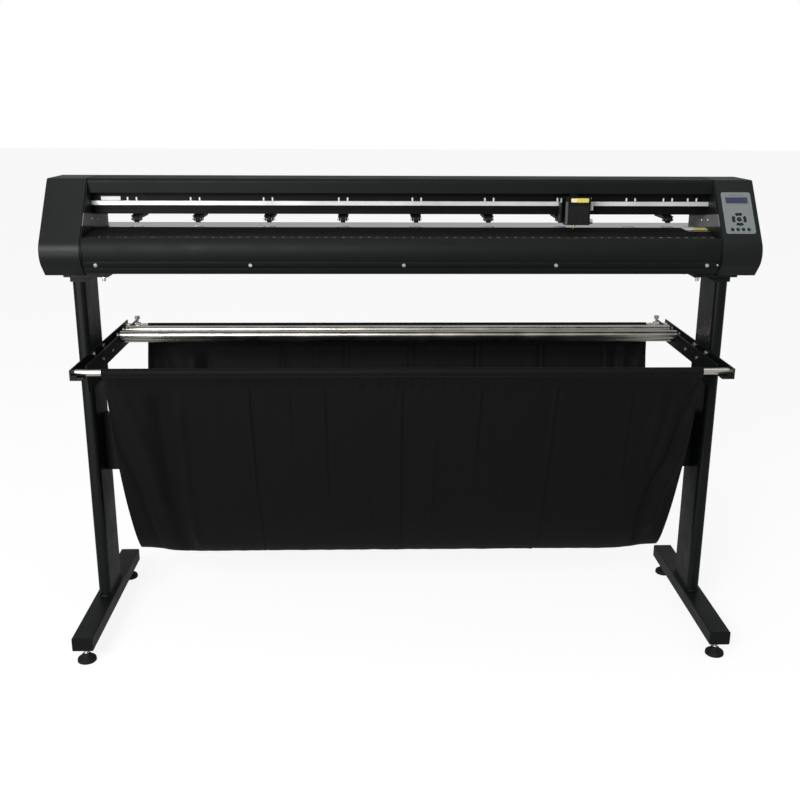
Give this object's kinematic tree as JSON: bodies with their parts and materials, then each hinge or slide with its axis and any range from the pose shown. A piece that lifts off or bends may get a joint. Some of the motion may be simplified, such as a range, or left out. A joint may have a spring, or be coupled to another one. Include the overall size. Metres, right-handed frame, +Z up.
{
  "type": "vinyl cutter",
  "caption": "Wide-format roll vinyl cutter with pinch rollers and a travelling blade carriage, on a T-leg stand with a hanging cloth media basket.",
  "frame": {"origin": "on the floor, at the middle of the machine's footprint", "axes": "+X to the operator's right, +Y to the rear, +Z up"},
  "size_m": [1.664, 0.594, 1.125],
  "materials": {
    "powder_coat": "satin black powder coat",
    "satin_black": "satin black fine-textured paint on the covers",
    "cap_plastic": "fine-grained charcoal moulded plastic",
    "grey_plate": "grey satin paint on sheet steel",
    "black_anodised": "black anodised extrusion",
    "platen_metal": "dark anodised platen with a fine bead texture",
    "ground_steel": "ground steel",
    "chrome_bar": "bright chrome-plated tube",
    "black_cloth": "black woven nylon",
    "panel_grey": "grey membrane overlay",
    "display_lens": "dark blue display window",
    "key_rubber": "matt dark keys",
    "motor_black": "black motor housings",
    "board_green": "circuit board",
    "belt_rubber": "black toothed belt",
    "zinc_steel": "zinc-plated steel",
    "black_plastic": "black moulded plastic",
    "bush_brass": "sintered bronze bushes",
    "tool_brass": "turned brass",
    "pad_rubber": "moulded rubber pads",
    "wheel_rubber": "ground rubber tyres",
    "rocker_red": "red rocker",
    "bare_aluminium": "machined aluminium"
  },
  "bodies": {
    "root": {"foot_beams": "powder_coat", "legs": "powder_coat", "cross_stretcher": "powder_coat", "basket_arms": "powder_coat", "basket_bars": "chrome_bar", "media_basket": "black_cloth", "chassis_pan": "powder_coat", "platen": "platen_metal", "front_apron": "satin_black", "side_plates": "grey_plate", "left_end_cap": "cap_plastic", "right_end_cap": "cap_plastic", "top_cover": "satin_black", "rail_beam": "black_anodised", "guide_rail": "ground_steel", "control_panel": "panel_grey", "display_window": "display_lens", "stepper_motors": "motor_black", "electronics": "board_green", "drive_belt": "belt_rubber", "fasteners": "zinc_steel", "foot_plugs": "black_plastic", "bearings": "bush_brass", "levelling_feet": "pad_rubber"},
    "carriage": {"carriage_block": "bare_aluminium", "carriage_cover": "black_plastic"},
    "tool": {"blade_holder": "tool_brass"},
    "lift_shaft": {"lift_shaft": "zinc_steel"},
    "grit_shaft": {"grit_shaft": "ground_steel"},
    "feed_pinion": {"feed_pinion": "tool_brass"},
    "drive_pulley": {"drive_pulley": "bare_aluminium"},
    "idler_pulley": {"idler_pulley": "bare_aluminium"},
    "support_roller_front": {"support_roller_front": "chrome_bar"},
    "support_roller_rear": {"support_roller_rear": "chrome_bar"},
    "power_rocker": {"power_rocker": "rocker_red"},
    "pinch_arm_1": {"pinch_arm_1": "black_plastic"},
    "pinch_wheel_1": {"pinch_wheel_1": "wheel_rubber"},
    "pinch_arm_2": {"pinch_arm_2": "black_plastic"},
    "pinch_wheel_2": {"pinch_wheel_2": "wheel_rubber"},
    "pinch_arm_3": {"pinch_arm_3": "black_plastic"},
    "pinch_wheel_3": {"pinch_wheel_3": "wheel_rubber"},
    "pinch_arm_4": {"pinch_arm_4": "black_plastic"},
    "pinch_wheel_4": {"pinch_wheel_4": "wheel_rubber"},
    "pinch_arm_5": {"pinch_arm_5": "black_plastic"},
    "pinch_wheel_5": {"pinch_wheel_5": "wheel_rubber"},
    "pinch_arm_6": {"pinch_arm_6": "black_plastic"},
    "pinch_wheel_6": {"pinch_wheel_6": "wheel_rubber"},
    "pinch_arm_7": {"pinch_arm_7": "black_plastic"},
    "pinch_wheel_7": {"pinch_wheel_7": "wheel_rubber"},
    "pinch_arm_8": {"pinch_arm_8": "black_plastic"},
    "pinch_wheel_8": {"pinch_wheel_8": "wheel_rubber"},
    "key_up": {"key_up": "key_rubber"},
    "key_down": {"key_down": "key_rubber"},
    "key_left": {"key_left": "key_rubber"},
    "key_right": {"key_right": "key_rubber"},
    "key_centre": {"key_centre": "key_rubber"},
    "key_f1": {"key_f1": "key_rubber"},
    "key_f2": {"key_f2": "key_rubber"},
    "key_f3": {"key_f3": "key_rubber"},
    "key_f4": {"key_f4": "key_rubber"}
  },
  "joints": [
    {"name": "carriage_slide", "type": "slide", "parent": "root", "child": "carriage", "axis": [1, 0, 0], "range_m": [-1.1, 0.28]},
    {"name": "tool_lift", "type": "slide", "parent": "carriage", "child": "tool", "axis": [0, 0, 1], "range_m": [-0.004, 0], "stiffness_N_per_m": 400, "springref_m": 0.004},
    {"name": "pinch_lift", "type": "hinge", "parent": "root", "child": "lift_shaft", "pos_m": [0, 0.066, 1.056], "axis": [1, 0, 0], "range_deg": [0, 8.4]},
    {"name": "grit_spin", "type": "hinge", "parent": "root", "child": "grit_shaft", "pos_m": [0, 0.004, 0.9985], "axis": [1, 0, 0], "continuous": true},
    {"name": "feed_pinion_spin", "type": "hinge", "parent": "root", "child": "feed_pinion", "pos_m": [-0.745, 0.004, 0.9663], "axis": [1, 0, 0], "continuous": true},
    {"name": "drive_pulley_spin", "type": "hinge", "parent": "root", "child": "drive_pulley", "pos_m": [0.775, -0.003, 1.1], "axis": [0, 0, 1], "continuous": true},
    {"name": "idler_pulley_spin", "type": "hinge", "parent": "root", "child": "idler_pulley", "pos_m": [-0.775, -0.003, 1.1], "axis": [0, 0, 1], "continuous": true},
    {"name": "front_roller_spin", "type": "hinge", "parent": "root", "child": "support_roller_front", "pos_m": [0, 0.104, 0.72], "axis": [1, 0, 0], "continuous": true},
    {"name": "rear_roller_spin", "type": "hinge", "parent": "root", "child": "support_roller_rear", "pos_m": [0, 0.17, 0.72], "axis": [1, 0, 0], "continuous": true},
    {"name": "power_switch", "type": "hinge", "parent": "root", "child": "power_rocker", "pos_m": [0.792, 0.132, 1.001], "axis": [1, 0, 0], "range_deg": [0, 12]},
    {"name": "pinch_slide_1", "type": "slide", "parent": "lift_shaft", "child": "pinch_arm_1", "axis": [1, 0, 0], "range_m": [-0.05, 0.05]},
    {"name": "pinch_spin_1", "type": "hinge", "parent": "pinch_arm_1", "child": "pinch_wheel_1", "pos_m": [-0.636, -0.0003, 1.028], "axis": [1, 0, 0], "continuous": true},
    {"name": "pinch_slide_2", "type": "slide", "parent": "lift_shaft", "child": "pinch_arm_2", "axis": [1, 0, 0], "range_m": [-0.05, 0.05]},
    {"name": "pinch_spin_2", "type": "hinge", "parent": "pinch_arm_2", "child": "pinch_wheel_2", "pos_m": [-0.49, -0.0003, 1.028], "axis": [1, 0, 0], "continuous": true},
    {"name": "pinch_slide_3", "type": "slide", "parent": "lift_shaft", "child": "pinch_arm_3", "axis": [1, 0, 0], "range_m": [-0.05, 0.05]},
    {"name": "pinch_spin_3", "type": "hinge", "parent": "pinch_arm_3", "child": "pinch_wheel_3", "pos_m": [-0.32, -0.0003, 1.028], "axis": [1, 0, 0], "continuous": true},
    {"name": "pinch_slide_4", "type": "slide", "parent": "lift_shaft", "child": "pinch_arm_4", "axis": [1, 0, 0], "range_m": [-0.05, 0.05]},
    {"name": "pinch_spin_4", "type": "hinge", "parent": "pinch_arm_4", "child": "pinch_wheel_4", "pos_m": [-0.143, -0.0003, 1.028], "axis": [1, 0, 0], "continuous": true},
    {"name": "pinch_slide_5", "type": "slide", "parent": "lift_shaft", "child": "pinch_arm_5", "axis": [1, 0, 0], "range_m": [-0.05, 0.05]},
    {"name": "pinch_spin_5", "type": "hinge", "parent": "pinch_arm_5", "child": "pinch_wheel_5", "pos_m": [0.033, -0.0003, 1.028], "axis": [1, 0, 0], "continuous": true},
    {"name": "pinch_slide_6", "type": "slide", "parent": "lift_shaft", "child": "pinch_arm_6", "axis": [1, 0, 0], "range_m": [-0.05, 0.05]},
    {"name": "pinch_spin_6", "type": "hinge", "parent": "pinch_arm_6", "child": "pinch_wheel_6", "pos_m": [0.208, -0.0003, 1.028], "axis": [1, 0, 0], "continuous": true},
    {"name": "pinch_slide_7", "type": "slide", "parent": "lift_shaft", "child": "pinch_arm_7", "axis": [1, 0, 0], "range_m": [-0.05, 0.05]},
    {"name": "pinch_spin_7", "type": "hinge", "parent": "pinch_arm_7", "child": "pinch_wheel_7", "pos_m": [0.383, -0.0003, 1.028], "axis": [1, 0, 0], "continuous": true},
    {"name": "pinch_slide_8", "type": "slide", "parent": "lift_shaft", "child": "pinch_arm_8", "axis": [1, 0, 0], "range_m": [-0.05, 0.05]},
    {"name": "pinch_spin_8", "type": "hinge", "parent": "pinch_arm_8", "child": "pinch_wheel_8", "pos_m": [0.645, -0.0003, 1.028], "axis": [1, 0, 0], "continuous": true},
    {"name": "press_up", "type": "slide", "parent": "root", "child": "key_up", "axis": [0, 0.7934, -0.6088], "range_m": [0, 0.0008], "stiffness_N_per_m": 900, "springref_m": -0.0006},
    {"name": "press_down", "type": "slide", "parent": "root", "child": "key_down", "axis": [0, 0.7934, -0.6088], "range_m": [0, 0.0008], "stiffness_N_per_m": 900, "springref_m": -0.0006},
    {"name": "press_left", "type": "slide", "parent": "root", "child": "key_left", "axis": [0, 0.7934, -0.6088], "range_m": [0, 0.0008], "stiffness_N_per_m": 900, "springref_m": -0.0006},
    {"name": "press_right", "type": "slide", "parent": "root", "child": "key_right", "axis": [0, 0.7934, -0.6088], "range_m": [0, 0.0008], "stiffness_N_per_m": 900, "springref_m": -0.0006},
    {"name": "press_centre", "type": "slide", "parent": "root", "child": "key_centre", "axis": [0, 0.7934, -0.6088], "range_m": [0, 0.0008], "stiffness_N_per_m": 900, "springref_m": -0.0006},
    {"name": "press_f1", "type": "slide", "parent": "root", "child": "key_f1", "axis": [0, 0.7934, -0.6088], "range_m": [0, 0.0008], "stiffness_N_per_m": 900, "springref_m": -0.0006},
    {"name": "press_f2", "type": "slide", "parent": "root", "child": "key_f2", "axis": [0, 0.7934, -0.6088], "range_m": [0, 0.0008], "stiffness_N_per_m": 900, "springref_m": -0.0006},
    {"name": "press_f3", "type": "slide", "parent": "root", "child": "key_f3", "axis": [0, 0.7934, -0.6088], "range_m": [0, 0.0008], "stiffness_N_per_m": 900, "springref_m": -0.0006},
    {"name": "press_f4", "type": "slide", "parent": "root", "child": "key_f4", "axis": [0, 0.7934, -0.6088], "range_m": [0, 0.0008], "stiffness_N_per_m": 900, "springref_m": -0.0006}
  ],
  "couplings": [
    {"joint": "feed_pinion_spin", "follows": "grit_spin", "ratio": -3},
    {"joint": "drive_pulley_spin", "follows": "carriage_slide", "rad_per_m": 90.909},
    {"joint": "idler_pulley_spin", "follows": "carriage_slide", "rad_per_m": 90.909}
  ]
}
